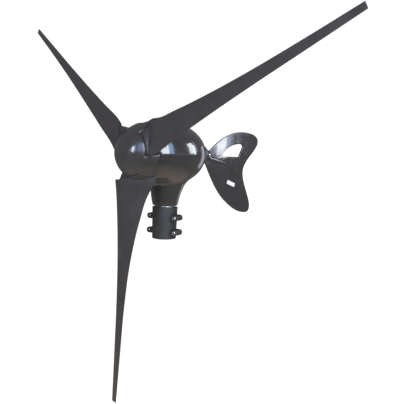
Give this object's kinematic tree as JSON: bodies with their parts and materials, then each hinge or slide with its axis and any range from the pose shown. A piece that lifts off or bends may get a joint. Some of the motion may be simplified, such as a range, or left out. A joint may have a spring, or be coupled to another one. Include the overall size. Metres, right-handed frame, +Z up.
{
  "type": "small wind turbine",
  "caption": "Small horizontal-axis wind turbine: bladed rotor with nose cone, egg-shaped generator housing and fixed tail vane, free to yaw on a clamp that grips a pole.",
  "frame": {"origin": "on the yaw axis, at the bottom face of the pole clamp, where the pole enters", "axes": "+Z up along the pole and the yaw axis; -Y into the wind, towards the nose cone; +Y towards the tail; +X completes a right-handed frame, the right-hand side when looking from the nose to the tail"},
  "size_m": [1.0412, 0.5053, 0.9546],
  "materials": {
    "nacelle_paint": "cast aluminium, high-gloss black paint",
    "front_plate_paint": "machined aluminium, satin black paint",
    "aluminium_plain": "turned aluminium, bare",
    "clamp_paint": "cast aluminium, satin black powder coat",
    "clamp_plate_steel": "steel, black oxide",
    "blade_composite": "fibre-filled moulded composite, satin charcoal",
    "cone_plastic": "moulded plastic, semi-gloss black",
    "vane_plastic": "moulded plastic, gloss black",
    "label_white": "plain white adhesive label",
    "steel": "stainless steel, bright",
    "shaft_steel": "ground steel",
    "bearing_steel": "polished bearing steel",
    "carrier_steel": "turned steel",
    "magnet": "nickel-plated magnet",
    "lamination": "stacked steel laminations, varnished",
    "copper": "enamelled copper wire",
    "ring_brass": "turned brass",
    "insulator": "moulded insulating plastic",
    "carbon": "pressed carbon",
    "rubber": "moulded rubber"
  },
  "bodies": {
    "mast_clamp": {"clamp_half_front": "clamp_paint", "clamp_half_rear": "clamp_paint", "clamp_screw_right_lower": "steel", "clamp_screw_right_upper": "steel", "clamp_screw_left_lower": "steel", "clamp_screw_left_upper": "steel", "yaw_spindle": "shaft_steel", "yaw_bearing_spacer": "shaft_steel", "yaw_retaining_nut": "steel", "slip_ring_core": "insulator", "slip_ring_1": "ring_brass", "slip_ring_2": "ring_brass", "slip_ring_3": "ring_brass"},
    "nacelle": {"nacelle_housing": "nacelle_paint", "yaw_bearing_lower": "bearing_steel", "yaw_bearing_upper": "bearing_steel", "yaw_dust_seal": "rubber", "yaw_bearing_circlip": "shaft_steel", "brush_holder": "insulator", "brush_1": "carbon", "brush_2": "carbon", "brush_3": "carbon", "stator_core": "lamination", "stator_winding_front": "copper", "stator_winding_rear": "copper", "alternator_front_plate": "front_plate_paint", "alternator_rear_plate": "aluminium_plain", "rotor_bearing_front": "bearing_steel", "rotor_bearing_rear": "bearing_steel", "front_plate_screw_1": "steel", "front_plate_screw_2": "steel", "front_plate_screw_3": "steel", "front_plate_screw_4": "steel", "tail_socket": "nacelle_paint", "tail_socket_nut": "steel", "tail_vane": "vane_plastic", "tail_screw_1": "steel", "tail_screw_2": "steel", "tail_label_right": "label_white", "tail_label_left": "label_white"},
    "rotor": {"main_shaft": "shaft_steel", "magnet_carrier": "carrier_steel", "magnet_ring": "magnet", "hub_plate": "aluminium_plain", "blade_clamp_plate": "clamp_plate_steel", "blade_1": "blade_composite", "blade_2": "blade_composite", "blade_3": "blade_composite", "blade_bolt_1_inner": "steel", "blade_bolt_1_outer": "steel", "blade_bolt_2_inner": "steel", "blade_bolt_2_outer": "steel", "blade_bolt_3_inner": "steel", "blade_bolt_3_outer": "steel", "nose_cone": "cone_plastic", "nose_cone_screw_1": "steel", "nose_cone_screw_2": "steel", "nose_cone_screw_3": "steel", "shaft_washer": "steel", "shaft_nut": "steel"}
  },
  "joints": [
    {"name": "yaw", "type": "hinge", "parent": "mast_clamp", "child": "nacelle", "pos_m": [0, 0, 0.103], "axis": [0, 0, 1], "continuous": true},
    {"name": "rotor_spin", "type": "hinge", "parent": "nacelle", "child": "rotor", "pos_m": [0, 0, 0.205], "axis": [0, 1, 0], "continuous": true}
  ]
}
